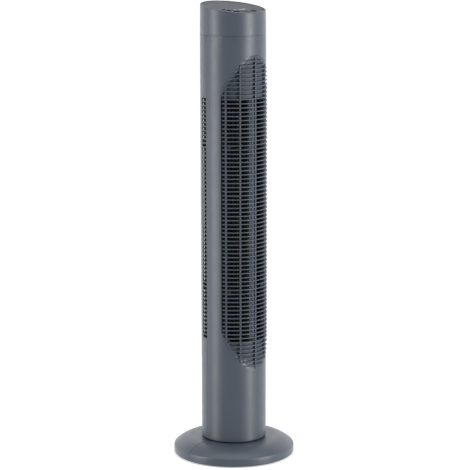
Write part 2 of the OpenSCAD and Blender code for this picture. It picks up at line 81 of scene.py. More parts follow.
class Nodes:
    """Builds one Principled material from procedural nodes in object space."""

    def __init__(self, name, **sockets):
        self.mat = bpy.data.materials.new(name)
        self.mat.use_nodes = True
        self.tree = self.mat.node_tree
        self.shader = self.tree.nodes["Principled BSDF"]
        self.coord = self.tree.nodes.new("ShaderNodeTexCoord")
        for socket, value in sockets.items():
            self.shader.inputs[socket.replace("_", " ")].default_value = value

    def link(self, a, b):
        self.tree.links.new(a, b)

    def noise(self, scale, detail=4.0, rough=0.55, stretch=(1, 1, 1)):
        mapping = self.tree.nodes.new("ShaderNodeMapping")
        mapping.inputs["Scale"].default_value = stretch
        self.link(self.coord.outputs["Object"], mapping.inputs["Vector"])
        node = self.tree.nodes.new("ShaderNodeTexNoise")
        node.inputs["Scale"].default_value = scale
        node.inputs["Detail"].default_value = detail
        node.inputs["Roughness"].default_value = rough
        self.link(mapping.outputs["Vector"], node.inputs["Vector"])
        return node.outputs["Fac"]

    def remap(self, value, low, high, from_low=0.3, from_high=0.7):
        node = self.tree.nodes.new("ShaderNodeMapRange")
        node.inputs["From Min"].default_value = from_low
        node.inputs["From Max"].default_value = from_high
        node.inputs["To Min"].default_value = low
        node.inputs["To Max"].default_value = high
        self.link(value, node.inputs["Value"])
        return node.outputs["Result"]

    def mix(self, factor, a, b, blend="MIX"):
        node = self.tree.nodes.new("ShaderNodeMix")
        node.data_type = "RGBA"
        node.blend_type = blend
        sockets = {s.identifier: s for s in node.inputs}
        for key, value in (
            ("Factor_Float", factor),
            ("A_Color", a),
            ("B_Color", b),
        ):
            if hasattr(value, "links"):
                self.link(value, sockets[key])
            elif isinstance(value, (tuple, list)):
                sockets[key].default_value = (*value, 1.0)
            else:
                sockets[key].default_value = value
        return next(s for s in node.outputs if s.identifier == "Result_Color")

    def bump(self, height, strength, distance, below=None):
        node = self.tree.nodes.new("ShaderNodeBump")
        node.inputs["Strength"].default_value = strength
        node.inputs["Distance"].default_value = distance
        self.link(height, node.inputs["Height"])
        if below:
            self.link(below, node.inputs["Normal"])
        return node.outputs["Normal"]

    def colour(self, out):
        self.link(out, self.shader.inputs["Base Color"])

    def roughness(self, out):
        self.link(out, self.shader.inputs["Roughness"])

    def normal(self, out):
        self.link(out, self.shader.inputs["Normal"])


def scaled(colour, k):
    return tuple(c * k for c in colour)


def moulded(name, colour, rough, grain=2600, depth=0.00004, spread=0.07, **sockets):
    """Moulded plastic: spark-eroded grain, faint flow streaks and slow changes of shade."""
    m = Nodes(name, **sockets)
    slow = m.noise(9, 3, 0.5, (1, 1, 0.45))
    fine = m.noise(420, 3, 0.6)
    tone = m.mix(m.remap(slow, 0, 1), scaled(colour, 1 - spread), scaled(colour, 1 + spread))
    m.colour(m.mix(m.remap(fine, 0, 0.22), tone, scaled(colour, 0.8)))
    m.roughness(m.remap(m.noise(60, 5, 0.65), rough - 0.035, rough + 0.045))
    ripple = m.bump(m.noise(26, 2, 0.4), 0.10, 0.0012)
    m.normal(m.bump(m.noise(grain, 2, 0.5), 0.32, depth, ripple))
    return m.mat


def metal(name, colour, rough, stretch=(1, 1, 1), tarnish=0.35):
    """Plated or cast metal: fine directional scratches and patches of tarnish."""
    m = Nodes(name, Metallic=1.0)
    patches = m.remap(m.noise(70, 5, 0.65), 0, tarnish)
    m.colour(m.mix(patches, colour, scaled(colour, 0.55)))
    scratches = m.noise(900, 4, 0.7, stretch)
    m.roughness(m.remap(scratches, rough - 0.08, rough + 0.14))
    m.normal(m.bump(scratches, 0.25, 0.00003))
    return m.mat


SLATE = (0.058, 0.072, 0.097)
slate = moulded("slate_satin", SLATE, 0.41, Specular_IOR_Level=0.8)
slate_grille = moulded("slate_satin_fins", SLATE, 0.42, Specular_IOR_Level=0.6)
# a lighter copy of the slate for the baffles: painted light, so the baffles deep behind the fins look as
# bright as the lit shell
baffle_slate_painted_light = moulded("baffle_painted_light_slate", scaled(SLATE, 1.25), 0.5, Specular_IOR_Level=0.4)
# a far lighter copy of the slate for the centre stay: painted light, so the stay shaded behind the fins
# looks lit
stay_slate_painted_light = moulded("stay_painted_light_slate", scaled(SLATE, 2.3), 0.46)
slate_head = moulded("slate_satin_head", scaled(SLATE, 1.03), 0.40, Specular_IOR_Level=0.8)
slate_top = moulded("slate_matt_panel", scaled(SLATE, 0.95), 0.56, Specular_IOR_Level=0.4)
black_plastic = moulded("black_moulding", (0.016, 0.016, 0.018), 0.52, 1800, 0.00005)
blade_plastic = moulded("black_blades", (0.013, 0.013, 0.015), 0.48, 1500, 0.00004)
foot_rubber = moulded("matt_rubber", (0.018, 0.018, 0.018), 0.78, 1200, 0.00012, 0.12)
sleeve = moulded("wire_sleeve", (0.014, 0.014, 0.017), 0.62, 1700, 0.00006)
natural_nylon = moulded("natural_nylon", (0.66, 0.64, 0.57), 0.42, 1500, 0.00003, 0.04)
white_mark = moulded("printed_white", (0.78, 0.79, 0.80), 0.46, 1500, 0.00002, 0.02)
key_black = moulded("key_black", (0.010, 0.010, 0.012), 0.5, 900, 0.00001, 0.10, Specular_IOR_Level=0.08)
plated_steel = metal("plated_steel", (0.56, 0.57, 0.59), 0.30, (1, 1, 6))
cast_zinc = metal("cast_zinc", (0.50, 0.52, 0.55), 0.46)
oil_bronze = metal("sintered_bronze", (0.46, 0.29, 0.13), 0.48)
enamel_copper = metal("enamelled_copper", (0.62, 0.24, 0.09), 0.34, (1, 1, 9))


def glass_black(name, colour):
    """A black acrylic window: dark, glossy, with faint smears and dust."""
    m = Nodes(name, Specular_IOR_Level=0.02)
    dust = m.remap(m.noise(2400, 2, 0.5), 0, 0.5, 0.66, 0.74)
    m.colour(m.mix(dust, colour, (0.05, 0.05, 0.055)))
    m.roughness(m.remap(m.noise(90, 4, 0.6, (1, 3, 1)), 0.26, 0.36))
    m.normal(m.bump(m.noise(30, 2, 0.4), 0.05, 0.0003))
    return m.mat


def board_green():
    """Solder mask over copper tracks."""
    m = Nodes("circuit_board", Coat_Weight=0.3)
    bricks = m.tree.nodes.new("ShaderNodeTexBrick")
    bricks.inputs["Scale"].default_value = 190
    bricks.inputs["Color1"].default_value = (0.012, 0.085, 0.035, 1)
    bricks.inputs["Color2"].default_value = (0.016, 0.12, 0.05, 1)
    bricks.inputs["Mortar"].default_value = (0.03, 0.20, 0.08, 1)
    m.link(m.coord.outputs["Object"], bricks.inputs["Vector"])
    m.colour(m.mix(m.remap(m.noise(300, 3), 0, 0.3), bricks.outputs["Color"], (0.01, 0.07, 0.03)))
    m.roughness(m.remap(m.noise(150, 3), 0.3, 0.45))
    m.normal(m.bump(bricks.outputs["Fac"], 0.2, 0.00004))
    return m.mat


window_black = glass_black("display_gloss", (0.006, 0.006, 0.008))
solder_mask = board_green()


# ---------- meshes ----------


class Mesh:
    """Points in millimetres and faces by index. Coincident points are merged at the end."""

    def __init__(self):
        self.points = []
        self.faces = []

    def row(self, points):
        start = len(self.points)
        self.points.extend(points)
        return list(range(start, len(self.points)))

    def strip(self, a, b, closed=False):
        n = len(a)
        for i in range(n if closed else n - 1):
            k = (i + 1) % n
            self.faces.append((a[i], a[k], b[k], b[i]))

    def rows(self, rows, closed=False):
        for a, b in zip(rows, rows[1:]):
            self.strip(a, b, closed)

    def cap(self, loop):
        self.faces.append(tuple(loop))

    def loop_between(self, grid, i0, i1, j0, j1):
        """The grid's points round a block of cells, in order."""
        low = [grid[j0][i] for i in range(i0, i1)]
        right = [grid[j][i1] for j in range(j0, j1)]
        high = [grid[j1][i] for i in range(i1, i0, -1)]
        left = [grid[j][i0] for j in range(j1, j0, -1)]
        return low + right + high + left

    def make(self, name, material, body, nodes=(), sharp=SMOOTH_BELOW):
        mesh = bpy.data.meshes.new(name)
        bm = bmesh.new()
        verts = [bm.verts.new(Vector(p) * MM) for p in self.points]
        for f in self.faces:
            loop = [v for i, v in enumerate(f) if v != f[i - 1]]
            if len(loop) > 2:
                bm.faces.new([verts[i] for i in loop])
        bmesh.ops.remove_doubles(bm, verts=bm.verts, dist=2e-6)
        bmesh.ops.dissolve_degenerate(bm, edges=bm.edges, dist=1e-6)
        loose = [v for v in bm.verts if not v.link_faces]
        bmesh.ops.delete(bm, geom=loose, context="VERTS")
        bmesh.ops.recalc_face_normals(bm, faces=bm.faces)
        for f in bm.faces:
            f.smooth = True
        for e in bm.edges:
            if len(e.link_faces) == 2 and e.calc_face_angle() > math.radians(sharp):
                e.smooth = False
        bm.to_mesh(mesh)
        bm.free()
        mesh.materials.append(material)
        obj = bpy.data.objects.new(name, mesh)
        bpy.context.scene.collection.objects.link(obj)
        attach(obj, body)
        if nodes:
            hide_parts(*nodes)
        return obj


def grid_faces(mesh, grid, skip=lambda i, j: False):
    for j in range(len(grid) - 1):
        for i in range(len(grid[0]) - 1):
            if not skip(i, j):
                mesh.faces.append(
                    (grid[j][i], grid[j][i + 1], grid[j + 1][i + 1], grid[j + 1][i])
                )


def revolve(mesh, profile, angles, closed=True):
    """Sweeps a closed profile of (r, z) round the axis; z may be a function of the angle and radius."""
    rings = []
    for a in angles:
        points = []
        for r, z in profile:
            points.append(polar(a, r, z(a, r) if callable(z) else z))
        rings.append(mesh.row(points))
    if closed:
        rings.append(rings[0])
    else:
        mesh.cap(rings[0])
        mesh.cap(rings[-1])
    mesh.rows(rings, closed=True)


def tube_along_y(mesh, x, z, y_near, y_far, r_out, r_in, sides=40):
    """A closed tube along Y. y_near may be a function of x, to follow a wall."""

    def ring(y, r):
        points = []
        for a in range(sides):
            px = x + r * math.cos(2 * math.pi * a / sides)
            pz = z + r * math.sin(2 * math.pi * a / sides)
            points.append((px, y(px) if callable(y) else y, pz))
        return mesh.row(points)

    loops = [ring(y_near, r_out), ring(y_far, r_out), ring(y_far, r_in), ring(y_near, r_in)]
    mesh.rows(loops + loops[:1], closed=True)


# ---------- column ----------

TOWER_R = 58.8
INNER_R = 56.4
TOWER_Z = (32.0, 766.0)
SEAM_MIDDLE = 96.0      # the two shells meet here, with a gap of 0.15 degrees on each side
SEAM_ANGLE = SEAM_MIDDLE - 0.15
OPEN_HALF_W = 52.3
OPEN_Z = (165.0, 731.5)
OPEN_MID = sum(OPEN_Z) / 2
SLOPE = 2.04
SLOPE_R = 60.0
END_DISH = 1.9          # how deep the shell is dished at the opening's two ends
SIDE_DISH = 0.35        # and beside its upright sides
DISH_FADE = (44, 60)    # angles between which the one turns into the other
DISH_REACH = 8.5        # width of the dished band, square to the opening's edge
DISH_SIDE = 1.6         # and beside the upright sides
EDGE_R = TOWER_R - SIDE_DISH
CORNER_ANGLE = 5.0
CORNER_DROP = 5.0
# distances m from the opening's edge at which the skin has points, in widths of the band
DISH_STEPS = (0, 0.04, 0.09, 0.15, 0.22, 0.32, 0.42, 0.52, 0.62, 0.72, 0.82, 0.92, 1.0, 1.12)
PLAIN = 9.0             # a distance m well outside the band
FOOT_STEPS = (0, 0.12, 0.35, 0.7, 1.1, 1.6)
FOOT_ROUND = 1.2        # edge roundings: at the foot, under the head, and at the upright seams
HEAD_ROUND = 0.5
SEAM_ROUND_ANGLE = 0.35
SEAM_STEPS = (0.4, 0.12, 0)
INNER_SHARE = 0.97      # keeps the inner columns in front of the seam's own
PLAIN_ROWS = 9
SPAN_ROWS = 24
POST_R = 4.5
POST_BORE_R = 1.55
POST_BACK_Y = 33
POST_X = 39.3
SCREW_LEVELS = (52, 123, 750)
VENT_Z = 219.0
PITCH = 7.42
FIN_T = 2.0
VENT_ROWS = 59
BLOWER_LEVELS = (VENT_Z + 92, VENT_Z + 352)


def row_z(k):
    return VENT_Z + k * PITCH


def sill(angle, r):
    """Height of the opening's lower edge at an angle and radius, with its corners eased."""
    side = asin(OPEN_HALF_W / r)
    z = OPEN_Z[0] + SLOPE * (SLOPE_R - r * cos(angle))
    t = clamp((abs(angle) - side + CORNER_ANGLE) / CORNER_ANGLE)
    return z + CORNER_DROP * (1 - math.sqrt(1 - t * t))


def dish(angle):
    """Depth of the dished ends at an angle; it fades out toward the upright sides."""
    full, gone = DISH_FADE
    return SIDE_DISH + (END_DISH - SIDE_DISH) * smooth((gone - abs(angle)) / (gone - full))


def dish_reach(angle):
    """Height of the dished band at an angle, measured along the upright."""
    return DISH_REACH * math.hypot(1, SLOPE * sin(min(abs(angle), DISH_FADE[1])))


def shell_columns():
    """Columns of the front shell's right half: (outer angle, inner angle, distance m)."""
    side_out = asin(OPEN_HALF_W / EDGE_R)
    side_in = asin(OPEN_HALF_W / INNER_R)
    flat = side_out - CORNER_ANGLE
    middle = steps(0, flat, 30) + [flat + CORNER_ANGLE * sin(b) for b in range(9, 91, 9)]
    columns = [(a, a * side_in / side_out, 0.0) for a in middle]
    for m in DISH_STEPS[1:]:
        a = asin((OPEN_HALF_W + DISH_SIDE * m) / (TOWER_R - SIDE_DISH * (1 - min(m, 1)) ** 2))
        columns.append((a, side_in + (a - side_out) * 0.8, m))
    a1, b1, _ = columns[-1]
    for f in steps(0, 1, 16)[1:-1]:
        a = a1 + (SEAM_ANGLE - SEAM_STEPS[0] - a1) * f
        columns.append((a, b1 + (SEAM_ANGLE - b1) * f * INNER_SHARE, PLAIN))
    columns += [(SEAM_ANGLE - d, SEAM_ANGLE - d, PLAIN) for d in SEAM_STEPS]
    return columns, len(middle) - 1


def edge_drop(distance, size):
    """Fall of a rounded edge of that size, at a distance from it."""
    t = clamp(1 - distance / size)
    return size * (1 - math.sqrt(max(0.0, 1 - t * t)))


def end_rounding(z):
    """Fall of the column's outer skin at its foot and under the head."""
    return edge_drop(z - TOWER_Z[0], FOOT_ROUND) + edge_drop(TOWER_Z[1] - z, HEAD_ROUND)


def build_front_shell():
    right, side = shell_columns()
    columns = [(-a, -b, m) for a, b, m in right[:0:-1]] + right
    middle = len(right) - 1
    first, last = middle - side, middle + side

    def heights(angle, r):
        """Row heights of the lower half at one column, with the distance m from the edge."""
        edge = sill(angle, r)
        reach = dish_reach(angle)
        base = [(TOWER_Z[0] + d, PLAIN) for d in FOOT_STEPS]
        top = edge - reach * DISH_STEPS[-1]
        base += [(z, PLAIN) for z in steps(base[-1][0], top, PLAIN_ROWS)[1:]]
        base += [(edge - reach * m, m) for m in DISH_STEPS[-2::-1]]
        return base

    def skin(outer):
        grid = []
        per_column = []
        for a, b, m_side in columns:
            angle, r0 = (a, TOWER_R - dish(a)) if outer else (b, INNER_R)
            low = heights(angle, r0)
            high = [(2 * OPEN_MID - z, m) for z, m in low[::-1]]
            span = steps(low[-1][0], high[0][0], SPAN_ROWS)[1:-1]
            depth = [dish(angle)] * len(low) + [SIDE_DISH] * len(span) + [dish(angle)] * len(high)
            column = low + [(z, 0.0) for z in span] + high
            points = []
            for (z, m_row), deep in zip(column, depth):
                if not outer:
                    z = clamp(z, *TOWER_Z)
                    points.append(polar(angle, INNER_R, z))
                    continue
                m = min(1.0, math.hypot(m_side, m_row))
                r = TOWER_R - deep * (1 - m) ** 2
                z = min(z, TOWER_Z[1])
                r -= end_rounding(z) + edge_drop(SEAM_ANGLE - abs(angle), SEAM_ROUND_ANGLE)
                points.append(polar(angle, r, z))
            per_column.append(points)
        for j in range(len(per_column[0])):
            grid.append(mesh.row([column[j] for column in per_column]))
        return grid

    mesh = Mesh()
    outer = skin(True)
    inner = skin(False)
    n_low = len(FOOT_STEPS) + PLAIN_ROWS + len(DISH_STEPS) - 1
    j0, j1 = n_low - 1, len(outer) - n_low

    def in_hole(i, j):
        return first <= i < last and j0 <= j < j1

    grid_faces(mesh, outer, in_hole)
    grid_faces(mesh, inner, in_hole)
    mesh.strip(outer[0], inner[0])
    mesh.strip(outer[-1], inner[-1])
    for i in (0, -1):
        mesh.strip([row[i] for row in outer], [row[i] for row in inner])
    mesh.strip(
        mesh.loop_between(outer, first, last, j0, j1),
        mesh.loop_between(inner, first, last, j0, j1),
        closed=True,
    )
    for x in (-POST_X, POST_X):
        for z in SCREW_LEVELS:
            wall = lambda px: -math.sqrt((TOWER_R - 1) ** 2 - px * px)
            tube_along_y(mesh, x, z, wall, POST_BACK_Y, POST_R, POST_BORE_R)
    return mesh.make("front_shell_skin", slate, "tower", ["front_shell"])


SLOT_WIDTH = 14.3       # slots in degrees: one column beside each seam, a group in the middle
SLOT_LAND = 3.5
SLOT_STEP = SLOT_WIDTH + SLOT_LAND
SLOT_FIRST = SEAM_MIDDLE + 1.5
MIDDLE_SLOTS = 4
MIDDLE_FIRST = 180 - (MIDDLE_SLOTS * SLOT_STEP - SLOT_LAND) / 2
SLOT_STARTS = (
    SLOT_FIRST,
    *(MIDDLE_FIRST + i * SLOT_STEP for i in range(MIDDLE_SLOTS)),
    360 - SLOT_FIRST - SLOT_WIDTH,
)
SLOT_LIFT = 1.2         # the rear rows sit this much above the fins
SLOT_CELLS = 8
PLAIN_STEP = 1.6        # spacing of the skin's columns in the plain bands
RIM_DROP = 0.4
BEVEL = 0.45
SCREW_HEAD_Y = 37.5
RECESS_R = 4.2
RECESS_EDGE = 0.22      # rounding of a recess's edge
HOLE_MARGIN = 0.6       # least height of plain skin above and below a recess
SCREW_BORE_R = 1.8
BOSS_R = 5.7
BOSS_FRONT_Y = 33.3
BOSS_WALL_R = 57.4      # the bosses end inside the wall
GLAND_Z = 50
GLAND_R = 6.0


def build_rear_shell():
    bevel_angle = BEVEL / TOWER_R * 180 / math.pi
    start = 2 * SEAM_MIDDLE - SEAM_ANGLE
    angles = [start + d for d in SEAM_STEPS[::-1]]
    slots = []
    for a0 in SLOT_STARTS:
        plain = a0 - bevel_angle - angles[-1]
        angles += steps(angles[-1], a0 - bevel_angle, max(1, round(plain / PLAIN_STEP)))[1:-1]
        angles.append(a0 - bevel_angle)
        slots.append(len(angles))
        angles += steps(a0, a0 + SLOT_WIDTH, SLOT_CELLS)
        angles.append(a0 + SLOT_WIDTH + bevel_angle)
    angles += [360 - start - d for d in SEAM_STEPS]

    # rows of points: closer round the gland, the screw recesses and the slots
    levels = [TOWER_Z[0] + d for d in (*FOOT_STEPS, 6)]
    levels += [42, 46, 50, 54, 58, 80, 100, 117, 120, 123, 126, 129, 150, 180, 205]
    slot_rows = []
    for k in range(VENT_ROWS):
        z0 = row_z(k) + SLOT_LIFT
        z1 = z0 + PITCH - FIN_T
        levels.append(z0 - BEVEL)
        slot_rows.append(len(levels))
        levels += [z0, z1, z1 + BEVEL]
    levels += [680, 712, 744, 747, 750, 753, 756]
    levels += [TOWER_Z[1] - d for d in (4, 1, 0.5, 0.25, 0.1, 0)]

    slot_cells = {
        (i, j) for s in slots for i in range(s, s + SLOT_CELLS) for j in slot_rows
    }
    rims = set()
    for i, j in slot_cells:
        rims |= {(i, j), (i + 1, j), (i, j + 1), (i + 1, j + 1)}

    holes = []
    for x in (-POST_X, POST_X):
        for z in (*SCREW_LEVELS, *BLOWER_LEVELS):
            holes.append((x, z, RECESS_R + 0.05))
    holes.append((0, GLAND_Z, GLAND_R))

    def blocks(r, margin):
        found = []
        for x, z, hole_r in holes:
            spread = [180 - asin((x + s * (hole_r + margin)) / r) for s in (-1, 1)]
            i0 = max(i for i, a in enumerate(angles) if a <= min(spread))
            i1 = min(i for i, a in enumerate(angles) if a >= max(spread))
            j0 = max(j for j, level in enumerate(levels) if level <= z - hole_r - HOLE_MARGIN)
            j1 = min(j for j, level in enumerate(levels) if level >= z + hole_r + HOLE_MARGIN)
            found.append((i0, i1, j0, j1, x, z, hole_r))
        return found

    mesh = Mesh()

    def skin(outer):
        r0 = TOWER_R if outer else INNER_R
        grid = []
        for j, z in enumerate(levels):
            points = []
            for i, a in enumerate(angles):
                r = r0
                if outer:
                    from_seam = min(a - start, 360 - start - a)
                    r -= end_rounding(z) + edge_drop(from_seam, SEAM_ROUND_ANGLE)
                    r -= RIM_DROP if (i, j) in rims else 0
                points.append(polar(a, r, z))
            grid.append(mesh.row(points))
        cells = blocks(r0, 0.25 if outer else 0.02)
        covered = {
            (i, j)
            for i0, i1, j0, j1, *_ in cells
            for i in range(i0, i1)
            for j in range(j0, j1)
        }
        grid_faces(mesh, grid, lambda i, j: (i, j) in slot_cells or (i, j) in covered)
        rings = []
        for i0, i1, j0, j1, x, z, hole_r in cells:
            loop = mesh.loop_between(grid, i0, i1, j0, j1)

            def circle(radius, r_wall):
                points = []
                for p in loop:
                    px, _, pz = mesh.points[p]
                    a = math.atan2(pz - z, px - x)
                    cx = x + radius * math.cos(a)
                    points.append((cx, math.sqrt(r_wall**2 - cx * cx), z + radius * math.sin(a)))
                return mesh.row(points)

            if outer:
                shoulder = circle(hole_r + RECESS_EDGE, r0)
                edge = circle(hole_r, r0 - RECESS_EDGE)
                mesh.rows([loop, shoulder, edge], closed=True)
            else:
                edge = circle(hole_r, r0)
                mesh.rows([loop, edge], closed=True)
            rings.append((edge, x, z, hole_r))
        return grid, rings

    outer, outer_rings = skin(True)
    inner, inner_rings = skin(False)
    for j, s in ((j, s) for j in slot_rows for s in slots):
        mesh.strip(
            mesh.loop_between(outer, s, s + SLOT_CELLS, j, j + 1),
            mesh.loop_between(inner, s, s + SLOT_CELLS, j, j + 1),
            closed=True,
        )
    for (edge, x, z, hole_r), (back, *_) in zip(outer_rings, inner_rings):
        r_wall = INNER_R
        points = []
        for p in edge:
            px, _, pz = mesh.points[p]
            points.append((px, math.sqrt(r_wall**2 - px * px), pz))
        bottom = mesh.row(points)
        mesh.strip(edge, bottom, closed=True)
        join_rings(mesh, bottom, back, x, z)
    mesh.strip(outer[0], inner[0])
    mesh.strip(outer[-1], inner[-1])
    for i in (0, -1):
        mesh.strip([row[i] for row in outer], [row[i] for row in inner])
    for x in (-POST_X, POST_X):
        for z in (*SCREW_LEVELS, *BLOWER_LEVELS):
            screw_boss(mesh, x, z)
    return mesh.make("rear_shell_skin", slate, "tower", ["rear_shell"])


def join_rings(mesh, a, b, x, z):
    """Joins two coincident circles with different numbers of points by a fan of triangles."""

    def turn(p):
        px, _, pz = mesh.points[p]
        return math.atan2(pz - z, px - x) % (2 * math.pi)

    a = sorted(a, key=turn)
    b = sorted(b, key=turn)
    i = j = 0
    while i < len(a) or j < len(b):
        ta = turn(a[i % len(a)]) + (2 * math.pi if i >= len(a) else 0)
        tb = turn(b[j % len(b)]) + (2 * math.pi if j >= len(b) else 0)
        if j >= len(b) or (i < len(a) and ta <= tb):
            mesh.faces.append((a[i % len(a)], a[(i + 1) % len(a)], b[j % len(b)]))
            i += 1
        else:
            mesh.faces.append((a[i % len(a)], b[(j + 1) % len(b)], b[j % len(b)]))
            j += 1


def screw_boss(mesh, x, z, sides=40):
    """The cup that holds a housing screw's head, with its outer end inside the wall."""

    def ring(y, r):
        points = []
        for s in range(sides):
            px = x + r * math.cos(2 * math.pi * s / sides)
            pz = z + r * math.sin(2 * math.pi * s / sides)
            points.append((px, math.sqrt(BOSS_WALL_R**2 - px * px) if y is None else y, pz))
        return mesh.row(points)

    loops = [ring(None, RECESS_R), ring(SCREW_HEAD_Y, RECESS_R)]
    loops += [ring(SCREW_HEAD_Y, SCREW_BORE_R), ring(BOSS_FRONT_Y, SCREW_BORE_R)]
    loops += [ring(BOSS_FRONT_Y, BOSS_R), ring(None, BOSS_R)]
    mesh.rows(loops + loops[:1], closed=True)


# ---------- air outlet ----------

FIN_IN_R = 57.2
FIN_OUT_R = 60.8
RIB_IN_R = 55.5
RING_R = (53.9, 56.1)
RING_OUTSIDE = (4, 2)       # how far the flange reaches behind the shell: at the ends, at the sides
RING_INSIDE = (-4, -1.5)    # and into the opening
FIN_ROWS = (-6, 69)
FIN_END = 62.0
CLEAR = 0.3
RIBS = (-55, -30, 0, 30, 55)
RIB_W = 2.7


def opening_back(z):
    """The Y behind which the opening is clear at a height, from either slanted plane."""
    z = min(z, 2 * OPEN_MID - z)
    return -SLOPE_R + (z - CLEAR - OPEN_Z[0]) / SLOPE


def build_grille():
    mesh = Mesh()
    #        depth from the outer edge, height as a part of the fin's
    profile = [(9, 0), (0.8, 0), (0.38, 0.05), (0.1, 0.19), (0, 0.4), (0, 0.6),
               (0.1, 0.81), (0.38, 0.95), (0.8, 1), (9, 1)]
    for k in range(FIN_ROWS[0], FIN_ROWS[1] + 1):
        z0 = row_z(k) - FIN_T
        tight = z0 if z0 < OPEN_MID else z0 + FIN_T
        y_limit = opening_back(tight)
        end = FIN_END
        if y_limit < 0 and -y_limit / FIN_OUT_R < 1:
            end = min(end, acos(-y_limit / FIN_OUT_R))
        if -y_limit / FIN_OUT_R >= 1:
            continue
        n = max(8, int(end / 1.6))
        rings = []
        for i in range(-n, n + 1):
            a = end * sin(90 * i / n) * 0.35 + end * i / n * 0.65
            r_out = min(FIN_OUT_R, (OPEN_HALF_W - CLEAR) / max(0.01, abs(sin(a))))
            r_in = min(r_out, max(FIN_IN_R, -y_limit / cos(a)))
            rings.append(mesh.row([
                polar(a, r_out - min(d, r_out - r_in), z0 + h * FIN_T) for d, h in profile
            ]))
        mesh.cap(rings[0])
        mesh.cap(rings[-1])
        mesh.rows(rings, closed=True)
    for a in RIBS:
        build_rib(mesh, a)
    build_frame_ring(mesh)
    return mesh.make("front_grille_fins", slate_grille, "tower", ["front_grille"])


def build_rib(mesh, angle):
    """An upright bar behind the fins' edges, cut by the opening's two planes."""
    half = RIB_W / 2
    front = FIN_OUT_R - 1
    deep = front - RIB_IN_R
    section = [(-half, deep), (-half, 0.5), (-half + 0.15, 0.15), (-half + 0.5, 0),
               (half - 0.5, 0), (half - 0.15, 0.15), (half, 0.5), (half, deep)]
    low, high = [], []
    for u, depth in section:
        r = front - depth
        x = r * sin(angle) + u * cos(angle)
        y = -r * cos(angle) + u * sin(angle)
        z = OPEN_Z[0] + CLEAR + SLOPE * (y + SLOPE_R)
        low.append((x, y, z))
        high.append((x, y, 2 * OPEN_MID - z))
    rings = [mesh.row(low)]
    for f in steps(0, 1, 20)[1:-1]:
        rings.append(mesh.row([(x, y, z + (w - z) * f) for (x, y, z), (_, _, w) in zip(low, high)]))
    rings.append(mesh.row(high))
    mesh.cap(rings[0])
    mesh.cap(rings[-1])
    mesh.rows(rings, closed=True)


def build_frame_ring(mesh):
    """The hidden flange that carries the fins behind the shell's edge."""
    def loop(r, dz, dx):
        side = asin((OPEN_HALF_W + dx) / r)
        low = []
        for a in steps(-side, side, 60):
            low.append((a, OPEN_Z[0] - dz + SLOPE * (SLOPE_R - r * cos(a))))
        points = [polar(a, r, z) for a, z in low]
        z0 = low[-1][1]
        points += [polar(side, r, z) for z in steps(z0, 2 * OPEN_MID - z0, 20)[1:-1]]
        points += [polar(a, r, 2 * OPEN_MID - z) for a, z in low[::-1]]
        points += [polar(-side, r, z) for z in steps(2 * OPEN_MID - z0, z0, 20)[1:-1]]
        return mesh.row(points)

    r_in, r_out = RING_R
    loops = [loop(r_out, *RING_OUTSIDE), loop(r_in, *RING_OUTSIDE)]
    loops += [loop(r_in, *RING_INSIDE), loop(r_out, *RING_INSIDE)]
    mesh.rows(loops + loops[:1], closed=True)


# ---------- head ----------

HEAD_Z = 766.3
HEAD_TOP_R = 58.2
HEAD_WALL = 2.4
SPIGOT_R = (53.4, 56.1)
SPIGOT_Z = (HEAD_Z - 6.8, HEAD_Z + 5.2)
TOP_Z = 814.5
TILT = 8.26
LEDGE_IN_R = 52
LEDGE_T = 2
PANEL_DROP = 0.8
PANEL_T = 2.2
KEY_R = (36.5, 45.0)
KEY_PROUD = 1.0
KEY_GAP = 0.35
DISPLAY_R = (29.0, 43.0)
DISPLAY_ANGLES = (-20.0, 12.5)
KEYS = (
    ("power", -67.0, -60.5),
    ("speed", -55.5, -46.5),
    ("timer", -41.0, -26.5),
    ("swing", 15.5, 27.0),
)
BOARD_POSTS = ((-22, -16), (22, -16), (-44, -13), (44, -13))


def rim(offset):
    """Height of the slanted top at an angle and radius, moved by an offset."""
    return lambda a, r: TOP_Z - r * cos(a) * math.tan(math.radians(TILT)) + offset


def tilted(p):
    """From the slanted top's own frame to the part's."""
    x, y, z = p
    return (x, y * cos(TILT) - z * sin(TILT), TOP_Z + y * sin(TILT) + z * cos(TILT))


def build_head_shell():
    mesh = Mesh()
    r_low, r_top = TOWER_R, HEAD_TOP_R + 0.1
    wall_in = HEAD_TOP_R - HEAD_WALL
    spigot_in, spigot_out = SPIGOT_R
    spigot_low, spigot_high = SPIGOT_Z
    profile = [(spigot_out, HEAD_Z), (r_low - 0.45, HEAD_Z), (r_low - 0.2, HEAD_Z + 0.08),
               (r_low - 0.05, HEAD_Z + 0.25), (r_low, HEAD_Z + 0.55)]
    for f in (0.2, 0.4, 0.6, 0.8):
        low = HEAD_Z + 0.55
        profile.append((r_low + (r_top - r_low) * f,
                        lambda a, r, f=f: low + (rim(-1.5)(a, r_top) - low) * f))
    for b in steps(0, 90, 6):
        profile.append((r_top - 1.1 * (1 - cos(b)), rim(-1.1 * (1 - sin(b)))))
    for b in steps(0, 90, 3):
        profile.append((wall_in + 0.35 * (1 - sin(b)), rim(-0.35 * (1 - cos(b)))))
    ledge = -(PANEL_DROP + PANEL_T)
    profile += [(wall_in, rim(ledge)), (LEDGE_IN_R, rim(ledge))]
    profile += [(LEDGE_IN_R, rim(ledge - LEDGE_T)), (wall_in, rim(ledge - LEDGE_T))]
    profile += [(wall_in, spigot_high), (spigot_in, spigot_high)]
    profile += [(spigot_in, spigot_low), (spigot_out, spigot_low)]
    revolve(mesh, profile, [i * 1.5 for i in range(240)])
    return mesh.make("head_shell_skin", slate_head, "tower", ["head_shell"])


